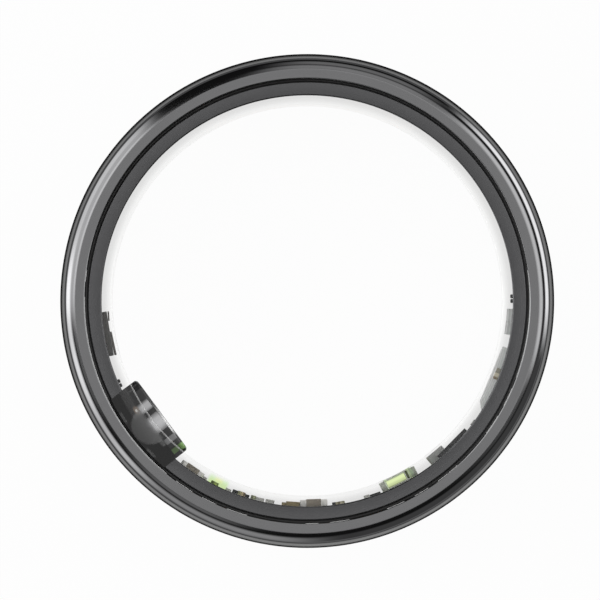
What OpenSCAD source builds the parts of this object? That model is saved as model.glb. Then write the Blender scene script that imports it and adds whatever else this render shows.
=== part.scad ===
// Smart ring: a metal channel round a clear resin liner, with a curved circuit
// board in its lower half and a curved battery in its upper half.
// The axis of the ring is Z and the origin is the centre of the bore at mid-width.
// Angles run from +X toward +Y. A "share" is a part of the size it is multiplied with.

/* [Ring] */
// Finger bore of the liner, US size 10
bore_d = 19.8; // [16:0.1:23]
// Thickness from the bore to the outside at mid-width
body_t = 2.65; // [2.4:0.05:3.2]
// Width of the ring along its axis
ring_w = 8; // [7.2:0.1:10]

/* [Outer shell] */
// Thickness of the wall at mid-width
wall_t = 0.75; // [0.65:0.01:0.8]
// Radius of the two outer edges
edge_r = 0.57; // [0.4:0.01:0.7]
// How far the outer face bulges at mid-width
crown_h = 0.26; // [0.1:0.01:0.3]
// Width of the flat rim on each side
rim_face_w = 0.39; // [0.3:0.01:0.45]
// Chamfer on the inner edge of the rim
rim_chamfer = 0.04; // [0.02:0.01:0.06]

/* [Side rings] */
// Width of the groove between the rim and a side ring
groove_w = 0.215; // [0.15:0.005:0.25]
// Depth of the groove below the side ring
groove_depth = 0.2; // [0.1:0.01:0.3]
// Depth of the seal's face below the side ring
seal_recess = 0.06; // [0.02:0.01:0.1]
// Width of a side ring between groove and liner
flange_w = 0.67; // [0.5:0.01:0.7]
// Thickness of a side ring
flange_t = 0.5; // [0.4:0.01:0.7]
// Depth of a side ring below the rim
flange_recess = 0.35; // [0.25:0.01:0.45]
// Rounding of the inner edge of a side ring
flange_edge_r = 0.09; // [0.05:0.01:0.12]

/* [Liner] */
// Depth of the liner's side below the side ring
liner_recess = 0.15; // [0.1:0.01:0.2]
// Rounding of the liner's inner edges
liner_edge_r = 0.15; // [0.08:0.01:0.2]

/* [Sensor window] */
// Length of the window round the ring
window_len = 4.4; // [4:0.1:5.2]
// Height of the dome above the bore
window_rise = 0.545; // [0.35:0.005:0.7]
// Width of the dome along the axis
dome_w = 6; // [5:0.1:6.4]
// Rounding of the dome's two ends
dome_end_r = 0.3; // [0.15:0.01:0.35]
// Rounding of the dome's two sides
dome_side_r = 0.15; // [0.08:0.01:0.4]
// Rounding of the dome's four corners seen from the finger
dome_corner_r = 0.7; // [0.3:0.05:1]
// Thickness of the cheeks that lie on the side rings
cheek_t = 0.15; // [0.08:0.01:0.2]
// Rounding of the cheeks' edges at the bore
cheek_edge_r = 0.07; // [0.03:0.01:0.1]
// Width of the frame under the window, along the axis
frame_w = 4.4; // [3.6:0.1:5]
// Thickness of the window's end walls outside the frame
window_wall = 0.1; // [0.06:0.01:0.14]
// Thickness of the dome above the light pillars
pillar_cover = 0.165; // [0.1:0.005:0.3]

/* [Electronics] */
// Thickness of the circuit board
board_t = 0.15; // [0.1:0.01:0.2]
// Gap between the board's edge and each side ring
board_side_gap = 0.25; // [0.1:0.01:0.4]
// Room for chips between the board and the film
back_room = 0.72; // [0.65:0.01:0.75]
// Thickness of the insulation film
film_t = 0.06; // [0.04:0.01:0.08]
// Thickness of the charging coil
coil_t = 0.06; // [0.04:0.01:0.08]
// Width of the winding of the charging coil
winding_w = 1.1; // [0.7:0.1:1.6]
// Length of the charging coil round the ring
coil_len = 11; // [8:0.5:14]
// Radius of the charging coil's corners
coil_corner_r = 1.4; // [1.2:0.1:2]
// Width of the tail that joins the coil to the board
coil_tail_w = 1; // [0.6:0.1:1.6]
// Thickness of the ferrite sheet
ferrite_t = 0.05; // [0.03:0.01:0.07]
// Thickness of the battery tabs
tab_t = 0.07; // [0.05:0.01:0.1]
// Width of a battery tab
tab_w = 1; // [0.6:0.1:1.4]
// Thickness of the protection board
guard_t = 0.15; // [0.1:0.01:0.16]
// Height of the protection chips
guard_chip_h = 0.3; // [0.2:0.01:0.32]
// Length of a protection chip
guard_chip_len = 0.8; // [0.5:0.1:0.9]
// Width of a protection chip along the axis
guard_chip_w = 1.3; // [0.8:0.1:1.6]
// Side of the main processor
processor_len = 3; // [2.4:0.1:3.2]
// Height of the main processor
processor_h = 0.48; // [0.35:0.01:0.5]
// Side of the memory chip
memory_len = 2; // [1.4:0.1:2.4]
// Height of the memory chip
memory_h = 0.4; // [0.3:0.01:0.5]
// Side of the power chip
power_len = 2.2; // [1.6:0.1:2.4]
// Height of the power chip
power_h = 0.45; // [0.3:0.01:0.5]
// Height of the capacitors behind the board
back_cap_h = 0.35; // [0.25:0.01:0.5]
// Length of the capacitors behind the board
back_cap_len = 0.6; // [0.4:0.05:0.7]
// Diameter of a test pin
pin_d = 0.16; // [0.1:0.01:0.2]
// Thickness of the antenna's gold terminals
terminal_t = 0.05; // [0.03:0.01:0.1]

/* [Clearances] */
// Gap between a piece and what it sits in or on
fit_gap = 0.02; // [0.01:0.005:0.03]

/* [Hidden] */
$fn = 288;
crown_fn = 720;

// Length by which a cut runs past what it cuts
over = 1;

// Radii and heights of the shell
bore_r = bore_d / 2;
ring_r = bore_r + body_t;
half_w = ring_w / 2;
crown_r = (half_w * half_w + crown_h * crown_h) / (2 * crown_h);
crown_x = ring_r - crown_r;
edge_z = half_w - edge_r;
edge_x = crown_x + sqrt((crown_r - edge_r) * (crown_r - edge_r) - edge_z * edge_z);
edge_angle = atan2(edge_z, edge_x - crown_x);
rim_in_r = edge_x - rim_face_w;
rim_wall_r = rim_in_r - rim_chamfer;
flange_out_r = rim_wall_r - groove_w;
flange_in_r = flange_out_r - flange_w;
flange_z = half_w - flange_recess;
channel_z = flange_z - flange_t;
chamber_r = ring_r - wall_t;

// The stack inside the shell, from the wall inward
film_r = chamber_r - fit_gap - film_t;
board_r = film_r - back_room;
board_in_r = board_r - board_t;
board_w = 2 * (channel_z - board_side_gap);
part_room = board_in_r - bore_r;
liner_r = flange_in_r - fit_gap;
liner_z = flange_z - liner_recess;
liner_round = min(liner_edge_r, (liner_r - bore_r) / 2);
coil_r = flange_in_r + fit_gap;
ferrite_r = coil_r + coil_t + fit_gap;
cell_r = ferrite_r + ferrite_t + fit_gap;
tab_r = board_r + fit_gap;
guard_r = tab_r + tab_t + fit_gap;

// Radius at which the side view shows how long a part is
sight_r = (bore_r + liner_edge_r + flange_in_r) / 2;

// Where things lie round the ring, as angles in degrees. The parts are laid out from the
// window's two ends, and the battery takes the rest of the ring.
window_angle = 218;
window_half_angle = asin(window_len / 2 / sight_r);
window_left_angle = window_angle - window_half_angle;
window_right_angle = window_angle + window_half_angle;
board_start_angle = window_left_angle - 24.62;
board_end_angle = window_right_angle + 132.62;
liner_back_angle = board_start_angle + 2;
cell_start_angle = board_end_angle - 355;
cell_end_angle = board_start_angle - 9;
tab_end_angle = board_start_angle + 4;
guard_start_angle = board_start_angle - 7.5;
guard_end_angle = board_start_angle - 0.5;
tail_start_angle = board_start_angle + 0.2;
tail_end_angle = board_start_angle + 1.7;
coil_angle = 90;
ferrite_margin_angle = 3;
processor_angle = window_right_angle + 31.6;
memory_angle = window_right_angle + 55.6;
power_angle = window_right_angle + 87.6;

// Rows of parts counted in degrees from the window's left end and from its right end
function from_left(rows) = [for (row = rows)
    [row[0] + window_left_angle, row[1] + window_left_angle, row[2], row[3], row[4]]];
function from_right(rows) = [for (row = rows)
    [row[0] + window_right_angle, row[1] + window_right_angle, row[2], row[3], row[4]]];

// Share of a chip's length that each of its end caps takes
cap_share = 0.22;
// Height of the end caps as a share of the chip's height
cap_high_share = 0.96;

// The parts on the board's inner face. Each row gives the start and end angle, then the
// height as a share of part_room, and the middle and width along the axis as shares of board_w.
socket_shares = from_left([[-22.52, -10.02, 0.71, 0, 0.8]])[0];
plug_shares = from_left([[-22.52, -20.02, 0.77, 0, 0.7], [-16.62, -10.02, 0.82, 0, 0.7]]);
large_capacitor_shares = from_right([[1.72, 8.92, 0.67, 0.3, 0.16], [37.67, 45.22, 0.79, 0.24, 0.24],
    [38, 44.8, 0.7, -0.2, 0.16], [2, 8.6, 0.6, -0.2, 0.14]]);
small_capacitor_shares = from_right([[9.12, 10.12, 0.51, 0.3, 0.1], [16.22, 17.67, 0.51, 0.34, 0.1],
    [25.12, 27.32, 0.57, 0.3, 0.1], [27.92, 30.22, 0.58, 0.3, 0.1], [55.82, 57.22, 0.54, 0.3, 0.1],
    [16.3, 17.6, 0.5, -0.3, 0.1], [25.2, 27.2, 0.5, -0.1, 0.1], [28, 30.1, 0.5, -0.3, 0.1],
    [92.5, 94.2, 0.45, 0.1, 0.1], [92.5, 94.2, 0.45, -0.2, 0.1]]);
led_shares = from_right([[11.62, 13.82, 0.55, 0.28, 0.14]])[0];
resistor_shares = from_right([[18.22, 19.62, 0.58, 0.3, 0.14], [21.92, 23.02, 0.55, 0.3, 0.14],
    [23.62, 24.92, 0.6, 0.3, 0.1], [23.62, 24.92, 0.5, -0.3, 0.1]]);
tantalum_shares = from_right([[19.72, 21.82, 0.61, 0.3, 0.14]])[0];
inductor_shares = from_right([[32.52, 33.72, 0.55, 0.2, 0.2], [33.72, 37.52, 0.63, 0.2, 0.24]]);
contact_shares = from_right([[46.72, 47.52, 0.53, 0.36, 0.1], [47.62, 50.12, 0.53, 0.36, 0.1],
    [47.62, 50.12, 0.5, 0.1, 0.1], [47.62, 50.12, 0.5, -0.16, 0.1]]);
seal_shares = from_right([[57.42, 60.52, 0.5, 0.1, 0.4]])[0];
guide_shares = from_right([[61.12, 72.32, 0.94, 0.1, 0.44]])[0];
crystal_shares = from_right([[76.72, 82.47, 0.88, -0.12, 0.28]])[0];
accelerometer_shares = from_right([[79.57, 90.57, 0.62, 0.26, 0.34]])[0];
temperature_shares = from_right([[83.2, 87.6, 0.4, -0.2, 0.16]])[0];
antenna_shares = from_right([[97.52, 116.42, 0.81, 0.2, 0.3]])[0];
filter_shares = from_right([[120.22, 123.52, 0.71, 0.2, 0.3], [123.72, 127.32, 0.7, 0.2, 0.3]]);
// Test pins, whose own diameter takes the place of the width
pin_shares = concat(from_left([[-3.02, -2.12, 0.52, 0.3, 0], [-1.72, -0.92, 0.52, 0.3, 0]]),
    from_right([[129.22, 130.02, 0.53, 0.3, 0], [130.52, 131.32, 0.53, 0.3, 0]]));
// Start, end and height of the antenna's gold terminals
terminal_start_share = 0.51;
terminal_end_share = 0.67;
terminal_high_share = 0.64;

// The groups of neighbouring parts that share a pocket in the liner, and the angle
// by which a pocket runs past them
pocket_margin_angle = 0.18;
pocket_groups = [
    [socket_shares, plug_shares[0], plug_shares[1]],
    [pin_shares[0], pin_shares[1]],
    [large_capacitor_shares[0], small_capacitor_shares[0]],
    [led_shares],
    [small_capacitor_shares[1], resistor_shares[0], tantalum_shares, small_capacitor_shares[3]],
    [inductor_shares[0], inductor_shares[1], large_capacitor_shares[1]],
    contact_shares,
    [small_capacitor_shares[4], seal_shares],
    [guide_shares],
    [crystal_shares, accelerometer_shares],
    [small_capacitor_shares[8]],
    [antenna_shares],
    filter_shares,
    [pin_shares[2], pin_shares[3]]];

// The lit window in the light guide, as shares of its length and of part_room
lit_start_share = 0.17;
lit_end_share = 0.7;
lit_low_share = 0.5;
lit_high_share = 0.895;
strip_end_share = 0.78;

// Capacitors behind the board: angle from the window's right end, and middle
back_capacitor_shares = [[2, 0.3], [2, -0.3], [10, 0.3], [10, 0], [10, -0.3], [17, 0.2],
    [17, -0.2], [44, 0.3], [44, 0], [44, -0.3], [67, 0.2], [67, -0.2], [74, 0],
    [100, 0.25], [100, -0.25], [108, 0]];

// Under the window: middle and length as shares of the window's length, then the
// height as a share of part_room and the width as a share of the frame's width
frame_high_share = 0.75;
red_shares = [-0.2, 0.13, 0.45, 0.2];
photodiode_shares = [0.04, 0.21, 0.35, 0.6];
infrared_shares = [0.285, 0.06, 0.4, 0.2];
window_led_shares = [0.41, 0.07, 0.5, 0.2];
under_window_shares = [red_shares, photodiode_shares, infrared_shares, window_led_shares];
// Clear space round each part under the window, as a share of the end walls
frame_space_share = 0.5;

// Sizes of the window
window_top_r = bore_r - window_rise;
cheek_in_z = flange_z + fit_gap;
cheek_out_z = cheek_in_z + cheek_t;
window_r = flange_out_r - fit_gap;
frame_len = window_len - 2 * window_wall;
frame_in_r = board_in_r - frame_high_share * part_room;
pillar_r = window_top_r + pillar_cover;

// What a rounding of radius r takes off a corner at the origin
module corner_cut(r) {
    translate([-r, -r]) difference() {
        square(r + over);
        circle(r);
    }
}

// A band round the axis between two radii, from one angle to another
module band(in_r, out_r, w, from, to) {
    rotate([0, 0, from]) rotate_extrude(angle = to - from)
        translate([in_r, -w / 2]) square([out_r - in_r, w]);
}

// A closed band round the whole ring
module full_band(in_r, out_r, w) {
    rotate_extrude() translate([in_r, -w / 2]) square([out_r - in_r, w]);
}

function row_len(row) = 2 * sight_r * sin((row[1] - row[0]) / 2);

// A slice of a part's block, between two shares of its length and two heights over the board
module slice(row, from_share, to_share, low, high, gap = 0) {
    len = row_len(row);
    rotate([0, 0, (row[0] + row[1]) / 2])
        translate([board_in_r - high - gap, (from_share - 1 / 2) * len - gap,
            (row[3] - row[4] / 2) * board_w - gap])
            cube([high - low + 2 * gap, (to_share - from_share) * len + 2 * gap,
                row[4] * board_w + 2 * gap]);
}

// A part on the board's inner face, with its foot following the board
module seated() {
    intersection() {
        children();
        cylinder(r = board_in_r - fit_gap, h = ring_w, center = true);
    }
}
module board_part(row, from_share = 0, to_share = 1, high_share = 1) {
    seated() slice(row, from_share, to_share, -over, high_share * row[2] * part_room);
}

// The space that a group of neighbouring parts takes out of the liner
module pocket(rows) {
    high = max([for (row = rows) row[2]]) * part_room;
    start = min([for (row = rows) row[0]]) - pocket_margin_angle;
    end = max([for (row = rows) row[1]]) + pocket_margin_angle;
    band(board_in_r - high - fit_gap, board_in_r + over, board_w, start, end);
}

// A chip on the board's outer face
module back_part(a, mid_share, len, wide, high) {
    rotate([0, 0, a]) difference() {
        translate([board_r - over, -len / 2, mid_share * board_w - wide / 2])
            cube([over + fit_gap + high, len, wide]);
        cylinder(r = board_r + fit_gap, h = ring_w, center = true);
    }
}

// A block under the window between two radii, grown by a gap along the ring and the axis
module window_block(row, in_r, out_r, gap = 0) {
    len = row[1] * window_len + 2 * gap;
    wide = row[3] * frame_w + 2 * gap;
    rotate([0, 0, window_angle]) translate([in_r, row[0] * window_len - len / 2, -wide / 2])
        cube([out_r - in_r, len, wide]);
}
module window_part(row) {
    seated() window_block(row, board_in_r - row[2] * part_room, board_in_r + over);
}

module shell_outline() {
    difference() {
        intersection() {
            translate([crown_x, 0]) circle(crown_r, $fn = crown_fn);
            translate([rim_wall_r, -half_w]) square([ring_r, ring_w]);
        }
        for (side = [0, 1]) mirror([0, side]) {
            // Rounded outer edge, from the crown to the flat rim
            difference() {
                reach = 2 * edge_r;
                on_crown = [edge_x + reach * cos(edge_angle), edge_z + reach * sin(edge_angle)];
                polygon([[edge_x, edge_z], on_crown, [edge_x + reach, edge_z + reach],
                    [edge_x, edge_z + reach]]);
                translate([edge_x, edge_z]) circle(edge_r);
            }
            // The chamfer on the rim's inner edge
            polygon([[rim_wall_r - over, half_w + over], [rim_wall_r - over, half_w - rim_chamfer],
                [rim_wall_r, half_w - rim_chamfer], [rim_in_r, half_w], [rim_in_r, half_w + over]]);
        }
        // The chamber for the electronics
        translate([rim_wall_r - over, -channel_z])
            square([chamber_r - rim_wall_r + over, 2 * channel_z]);
    }
}

module outer_shell() color([0.22, 0.22, 0.23]) rotate_extrude() shell_outline();

// A ring that closes the chamber, with a thin foot under the groove
module side_ring_outline() {
    difference() {
        union() {
            translate([flange_in_r, channel_z]) square([flange_w, flange_t]);
            translate([flange_in_r + flange_w / 2, channel_z])
                square([rim_wall_r - fit_gap - flange_in_r - flange_w / 2, flange_t - groove_depth]);
        }
        translate([flange_in_r, flange_z]) mirror([1, 0]) corner_cut(flange_edge_r);
    }
}

module side_rings() color([0.2, 0.2, 0.21])
    for (side = [0, 1]) mirror([0, 0, side]) rotate_extrude() side_ring_outline();

// The black glue line that fills the groove
module groove_seals() color([0.02, 0.02, 0.02])
    for (side = [0, 1]) mirror([0, 0, side]) rotate_extrude()
        translate([flange_out_r + fit_gap, flange_z - groove_depth + fit_gap])
            square([groove_w - 2 * fit_gap, groove_depth - seal_recess - fit_gap]);

module insulation_film() color([0.55, 0.36, 0.12])
    full_band(film_r, film_r + film_t, 2 * (channel_z - fit_gap));

module battery_cell() color([0.72, 0.74, 0.76])
    band(cell_r, film_r - fit_gap, board_w, cell_start_angle, cell_end_angle);

module battery_tabs() color([0.8, 0.78, 0.7])
    for (side = [-1, 1]) translate([0, 0, side * board_w / 4])
        band(tab_r, tab_r + tab_t, tab_w, cell_end_angle, tab_end_angle);

module protection_board() color([0.1, 0.3, 0.16])
    band(guard_r, guard_r + guard_t, board_w, guard_start_angle, guard_end_angle);

module protection_chips() color([0.13, 0.13, 0.14])
    for (side = [-1, 1]) rotate([0, 0, (guard_start_angle + guard_end_angle) / 2]) difference() {
        translate([guard_r, -guard_chip_len / 2, side * board_w / 4 - guard_chip_w / 2])
            cube([guard_t + fit_gap + guard_chip_h, guard_chip_len, guard_chip_w]);
        cylinder(r = guard_r + guard_t + fit_gap, h = ring_w, center = true);
    }

// A flat rounded rectangle, pushed out radially at the coil's middle
module coil_outline(grow = 0) {
    len = coil_len + 2 * grow;
    wide = board_w + 2 * grow;
    difference() {
        square([wide, len], center = true);
        for (x = [0, 1], y = [0, 1]) mirror([x, 0]) mirror([0, y])
            translate([wide / 2, len / 2]) corner_cut(coil_corner_r + grow);
    }
}

module charging_coil() color([0.75, 0.42, 0.2]) {
    intersection() {
        full_band(coil_r, coil_r + coil_t, ring_w);
        rotate([0, 0, coil_angle]) rotate([0, 90, 0]) linear_extrude(ring_r) difference() {
            coil_outline();
            coil_outline(-winding_w);
        }
    }
    coil_edge_angle = coil_angle + asin((coil_len - winding_w) / 2 / coil_r);
    band(coil_r, coil_r + coil_t, coil_tail_w, coil_edge_angle, tail_end_angle);
    band(coil_r, board_in_r - fit_gap, coil_tail_w, tail_start_angle, tail_end_angle);
}

module ferrite_sheet() color([0.2, 0.2, 0.21]) {
    spread_angle = asin(coil_len / 2 / coil_r) + ferrite_margin_angle;
    band(ferrite_r, ferrite_r + ferrite_t, board_w, coil_angle - spread_angle, coil_angle + spread_angle);
}

module flex_board() color([0.08, 0.22, 0.12])
    band(board_in_r, board_r, board_w, board_start_angle, board_end_angle);

module connector_socket() color([0.16, 0.15, 0.14]) board_part(socket_shares);

module connector_plug() color([0.28, 0.23, 0.19])
    for (row = plug_shares)
        slice(row, 0, 1, socket_shares[2] * part_room + fit_gap, row[2] * part_room);

module main_processor() color([0.1, 0.1, 0.11])
    back_part(processor_angle, 0, processor_len, processor_len, processor_h);

module memory_chip() color([0.12, 0.12, 0.13])
    back_part(memory_angle, 0, memory_len, memory_len, memory_h);

module power_chip() color([0.14, 0.14, 0.15])
    back_part(power_angle, 0, power_len, power_len, power_h);

module back_capacitors() color([0.5, 0.44, 0.36])
    for (row = back_capacitor_shares)
        back_part(row[0] + window_right_angle, row[1], back_cap_len, back_cap_len / 2, back_cap_h);

module accelerometer() color([0.22, 0.22, 0.23]) board_part(accelerometer_shares);

module crystal() color([0.5, 0.5, 0.5]) board_part(crystal_shares);

module chip_antenna() color([0.72, 0.72, 0.72]) board_part(antenna_shares);

module antenna_terminals() color([0.75, 0.62, 0.25])
    for (side = [-1, 1]) {
        row = antenna_shares;
        edge = (row[3] + side * row[4] / 2) * board_w;
        mid = edge + side * (terminal_t / 2 + fit_gap);
        seated() slice([row[0], row[1], row[2], mid / board_w, terminal_t / board_w],
            terminal_start_share, terminal_end_share, -over, terminal_high_share * part_room);
    }

module antenna_filters() color([0.68, 0.68, 0.68])
    for (row = filter_shares) board_part(row);

module large_capacitors() color([0.44, 0.4, 0.34])
    for (row = large_capacitor_shares) {
        gap_share = fit_gap / row_len(row);
        board_part(row, cap_share + gap_share, 1 - cap_share - gap_share);
    }

module capacitor_terminals() color([0.75, 0.74, 0.71])
    for (row = large_capacitor_shares) {
        board_part(row, 0, cap_share, cap_high_share);
        board_part(row, 1 - cap_share, 1, cap_high_share);
    }

module small_capacitors() color([0.55, 0.53, 0.5])
    for (row = small_capacitor_shares) board_part(row);

module small_resistors() color([0.09, 0.1, 0.09])
    for (row = resistor_shares) board_part(row);

module tantalum_capacitor() color([0.72, 0.6, 0.4]) board_part(tantalum_shares);

module power_inductor() color([0.45, 0.33, 0.18])
    for (row = inductor_shares) board_part(row);

module gold_contacts() color([0.72, 0.58, 0.26])
    for (row = contact_shares) board_part(row);

module test_pins() color([0.1, 0.1, 0.1])
    for (row = pin_shares)
        rotate([0, 0, (row[0] + row[1]) / 2])
            translate([board_in_r - row[2] * part_room, 0, row[3] * board_w])
                rotate([0, 90, 0]) cylinder(d = pin_d, h = row[2] * part_room - fit_gap);

module photodiode() color([0.12, 0.12, 0.2]) window_part(photodiode_shares);

module lit_block(from_share, to_share, gap = 0)
    slice(guide_shares, from_share, to_share, lit_low_share * part_room,
        lit_high_share * part_room, gap);

module green_leds() color([0.72, 0.95, 0.4]) {
    board_part(led_shares);
    window_part(window_led_shares);
    lit_block(lit_start_share, lit_end_share);
}

module red_led() color([0.5, 0.16, 0.1]) window_part(red_shares);

module infrared_led() color([0.3, 0.12, 0.2]) window_part(infrared_shares);

module temperature_sensor() color([0.16, 0.16, 0.17]) board_part(temperature_shares);

// The frame's block under the window, or the space for it in the window
module frame_block(gap = 0) {
    rotate([0, 0, window_angle])
        translate([frame_in_r - gap, -frame_len / 2 - gap, -frame_w / 2 - gap])
            cube([board_in_r - frame_in_r + over, frame_len + 2 * gap, frame_w + 2 * gap]);
}

module light_barriers() color([0.06, 0.06, 0.06]) {
    seated() difference() {
        frame_block();
        for (row = under_window_shares)
            window_block(row, frame_in_r - over, board_in_r + over, frame_space_share * window_wall);
    }
    gap_share = 2 * fit_gap / row_len(guide_shares);
    lit_block(lit_end_share + gap_share, strip_end_share);
    board_part(seal_shares);
}

// The clear columns that lead light between the dome and the chips under it
module light_pillars() color([0.78, 0.8, 0.78])
    for (row = under_window_shares)
        window_block(row, pillar_r, board_in_r - row[2] * part_room - fit_gap);

module light_guide() color([0.6, 0.66, 0.55]) difference() {
    board_part(guide_shares);
    lit_block(lit_start_share, strip_end_share, fit_gap);
}

// The dome that rises from the bore, rounded at its ends, sides and corners
module window_dome() {
    high = window_rise + over / 2;
    difference() {
        translate([window_top_r, -window_len / 2, -dome_w / 2]) cube([high, window_len, dome_w]);
        for (y = [0, 1], z = [0, 1]) mirror([0, y, 0]) mirror([0, 0, z]) {
            translate([window_top_r, window_len / 2, -dome_w])
                linear_extrude(2 * dome_w) mirror([1, 0]) corner_cut(dome_end_r);
            translate([window_top_r, window_len, dome_w / 2])
                rotate([90, 0, 0]) linear_extrude(2 * window_len) mirror([1, 0]) corner_cut(dome_side_r);
            translate([window_top_r - over, window_len / 2, dome_w / 2])
                rotate([90, 0, 90]) linear_extrude(high + 2 * over) corner_cut(dome_corner_r);
        }
    }
}

// The block between the two ends of the liner, with a cheek over each side ring
module window_base() {
    difference() {
        intersection() {
            translate([window_top_r, -window_len / 2, -cheek_out_z])
                cube([window_r, window_len, 2 * cheek_out_z]);
            cylinder(r = window_r, h = ring_w, center = true);
        }
        cylinder(r = bore_r, h = 2 * ring_w, center = true);
        for (side = [0, 1]) mirror([0, 0, side])
            rotate_extrude() translate([bore_r, cheek_out_z]) mirror([1, 0]) corner_cut(cheek_edge_r);
        // The board's side of the channel
        rotate_extrude() translate([board_in_r - fit_gap, -cheek_in_z]) square([over, 2 * cheek_in_z]);
        // The two side rings
        for (side = [0, 1]) mirror([0, 0, side])
            rotate_extrude() translate([liner_r, channel_z - fit_gap])
                square([over, cheek_in_z - channel_z + fit_gap]);
    }
}

module sensor_window() color([0.16, 0.16, 0.17]) difference() {
    rotate([0, 0, window_angle]) union() {
        window_base();
        window_dome();
    }
    frame_block(fit_gap);
    for (row = under_window_shares)
        window_block(row, pillar_r - fit_gap, board_in_r, fit_gap);
}

module liner_outline() {
    difference() {
        translate([bore_r, -liner_z]) square([liner_r - bore_r, 2 * liner_z]);
        for (side = [0, 1]) mirror([0, side])
            translate([bore_r, liner_z]) mirror([1, 0]) corner_cut(liner_round);
    }
}

module resin_liner() color([0.9, 0.92, 0.94]) difference() {
    union() {
        rotate_extrude() liner_outline();
        band(sight_r, board_in_r - fit_gap, 2 * (channel_z - fit_gap), liner_back_angle, board_end_angle);
    }
    rotate([0, 0, window_angle]) translate([window_top_r - over, -window_len / 2 - fit_gap, -ring_w])
        cube([ring_r, window_len + 2 * fit_gap, 2 * ring_w]);
    for (rows = pocket_groups) pocket(rows);
}

outer_shell();
side_rings();
groove_seals();
insulation_film();
battery_cell();
battery_tabs();
protection_board();
protection_chips();
ferrite_sheet();
charging_coil();
flex_board();
connector_socket();
connector_plug();
main_processor();
memory_chip();
power_chip();
back_capacitors();
accelerometer();
crystal();
chip_antenna();
antenna_terminals();
antenna_filters();
large_capacitors();
capacitor_terminals();
small_capacitors();
small_resistors();
tantalum_capacitor();
power_inductor();
gold_contacts();
test_pins();
photodiode();
green_leds();
red_led();
infrared_led();
temperature_sensor();
light_barriers();
light_pillars();
light_guide();
sensor_window();
resin_liner();
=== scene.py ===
"""Smart ring: the looks of the ring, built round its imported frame.

Lengths are in metres. The ring's axis is Z, and angles run from +X toward +Y, in degrees.
"""
import math

import bpy
from mathutils import Matrix, Vector


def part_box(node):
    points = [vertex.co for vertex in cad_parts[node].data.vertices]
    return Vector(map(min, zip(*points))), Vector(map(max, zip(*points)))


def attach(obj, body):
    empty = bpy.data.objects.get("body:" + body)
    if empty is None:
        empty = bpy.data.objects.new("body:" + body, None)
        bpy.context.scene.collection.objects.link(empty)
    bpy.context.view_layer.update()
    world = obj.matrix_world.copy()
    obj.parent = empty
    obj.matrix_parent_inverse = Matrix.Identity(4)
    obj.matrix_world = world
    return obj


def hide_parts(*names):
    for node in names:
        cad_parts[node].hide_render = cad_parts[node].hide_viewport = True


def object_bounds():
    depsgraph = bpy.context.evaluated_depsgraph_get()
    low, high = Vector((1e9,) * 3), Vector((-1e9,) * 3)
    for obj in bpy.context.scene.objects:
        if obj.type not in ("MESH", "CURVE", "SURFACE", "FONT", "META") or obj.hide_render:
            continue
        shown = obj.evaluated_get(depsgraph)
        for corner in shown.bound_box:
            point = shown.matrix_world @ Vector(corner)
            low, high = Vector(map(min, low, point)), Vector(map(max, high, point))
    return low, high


bl_info = {
    "name": "Smart ring",
    "version": (1, 0, 0),
    "blender": (4, 5, 0),
    "location": "3D View > Sidebar > Smart ring",
    "description": "Builds the pieces, finishes and studio of a smart ring round its frame",
    "category": "Object",
}

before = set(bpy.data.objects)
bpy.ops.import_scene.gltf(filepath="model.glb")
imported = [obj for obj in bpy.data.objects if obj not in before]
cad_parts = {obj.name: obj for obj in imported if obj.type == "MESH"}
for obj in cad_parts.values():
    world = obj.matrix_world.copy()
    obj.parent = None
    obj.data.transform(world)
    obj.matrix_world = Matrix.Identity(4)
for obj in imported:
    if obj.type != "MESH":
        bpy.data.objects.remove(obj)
CAD_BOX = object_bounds()
MM = 0.001
WELD = 1e-7  # points closer than this are one
BRINK = 0.012 * MM  # a flat strip beside a rounding
SWELL = 0.02  # how far a potted part grows into its gap, in millimetres
BATTERY_ANGLE = 90  # the middle of the battery, the coil and the ferrite
BOARD_ANGLE = 272  # the middle of the board
RIM_DIODE_ANGLE = 243.8  # the green diode that shines into the liner
CHANNEL_R = 10.4 * MM  # a radius through the middle of the parts


def cad_radius(node):
    """The outer radius of a CAD node that goes round the ring."""
    low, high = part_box(node)
    return max(-low.x, high.x)


def cad_half_width(node):
    """Half of a CAD node's width along the axis."""
    low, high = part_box(node)
    return max(-low.z, high.z)


# ---- sizes and colours

def length(name, description, default):
    return bpy.props.FloatProperty(
        name=name, description=description, default=default, unit="LENGTH", precision=5)


def angle(name, description, default):
    return bpy.props.FloatProperty(
        name=name, description=description, default=math.radians(default), subtype="ANGLE")


def colour(name, description, *default):
    return bpy.props.FloatVectorProperty(
        name=name, description=description, default=default, subtype="COLOR", min=0, max=1)


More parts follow.
